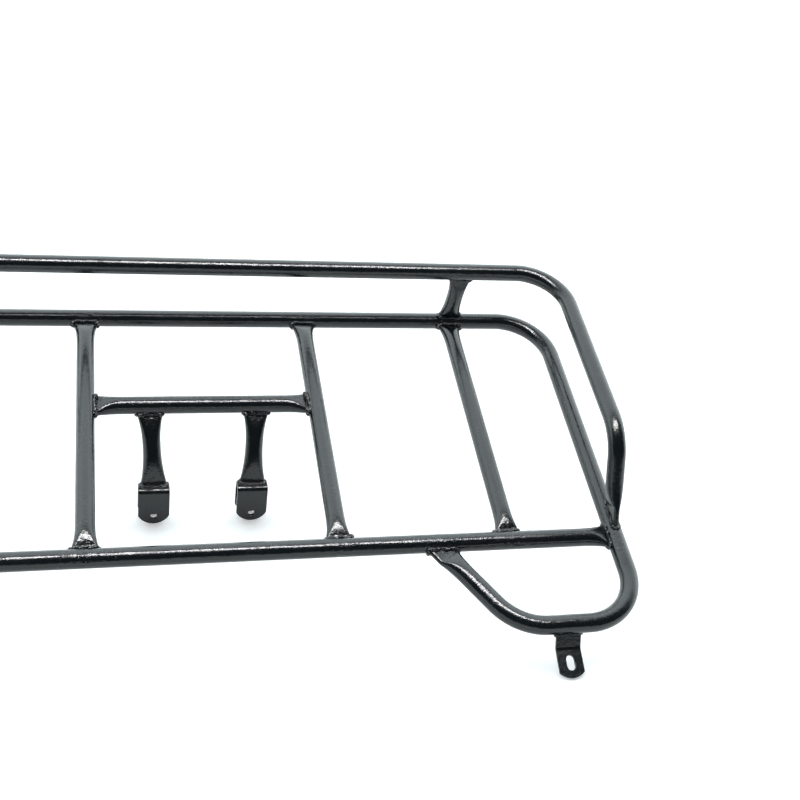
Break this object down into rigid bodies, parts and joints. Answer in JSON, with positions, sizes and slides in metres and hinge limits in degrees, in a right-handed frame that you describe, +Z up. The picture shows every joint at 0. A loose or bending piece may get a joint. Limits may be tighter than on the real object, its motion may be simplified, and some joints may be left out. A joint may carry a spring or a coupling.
{
  "type": "tubular luggage rack",
  "caption": "Rigid welded luggage rack of bent round tube, with cross tubes, raised guard rail, front hoops, bolted clips and slotted tabs.",
  "frame": {"origin": "centre of the footprint, on the floor that the rack's two clips and two tabs stand on", "axes": "+X along the length of the rack, to its right end seen from the front; +Y towards the back rail and guard rail; +Z up. The deck slopes down to the front by 16.5 degrees."},
  "size_m": [0.8552, 0.4492, 0.2452],
  "materials": {
    "paint": "gloss black brushed paint"
  },
  "bodies": {
    "root": {"deck_loop": "paint", "front_rail": "paint", "guard_rail": "paint", "guard_post_right": "paint", "guard_post_left": "paint", "inner_cross_right": "paint", "inner_cross_left": "paint", "outer_cross_right": "paint", "outer_cross_left": "paint", "centre_bar": "paint", "strut_right": "paint", "strut_left": "paint", "clip_right": "paint", "clip_left": "paint", "tab_right": "paint", "tab_left": "paint", "weld_inner_front_right": "paint", "weld_inner_front_left": "paint", "weld_inner_back_right": "paint", "weld_inner_back_left": "paint", "weld_outer_front_right": "paint", "weld_outer_front_left": "paint", "weld_outer_back_right": "paint", "weld_outer_back_left": "paint", "weld_front_rail_right": "paint", "weld_front_rail_left": "paint", "weld_hoop_right": "paint", "weld_hoop_left": "paint", "weld_guard_foot_right": "paint", "weld_guard_foot_left": "paint", "weld_post_top_right": "paint", "weld_post_top_left": "paint", "weld_post_foot_right": "paint", "weld_post_foot_left": "paint", "weld_centre_bar_right": "paint", "weld_centre_bar_left": "paint", "weld_strut_top_right": "paint", "weld_strut_top_left": "paint", "weld_strut_foot_right": "paint", "weld_strut_foot_left": "paint", "weld_tab_right": "paint", "weld_tab_left": "paint"}
  },
  "joints": []
}
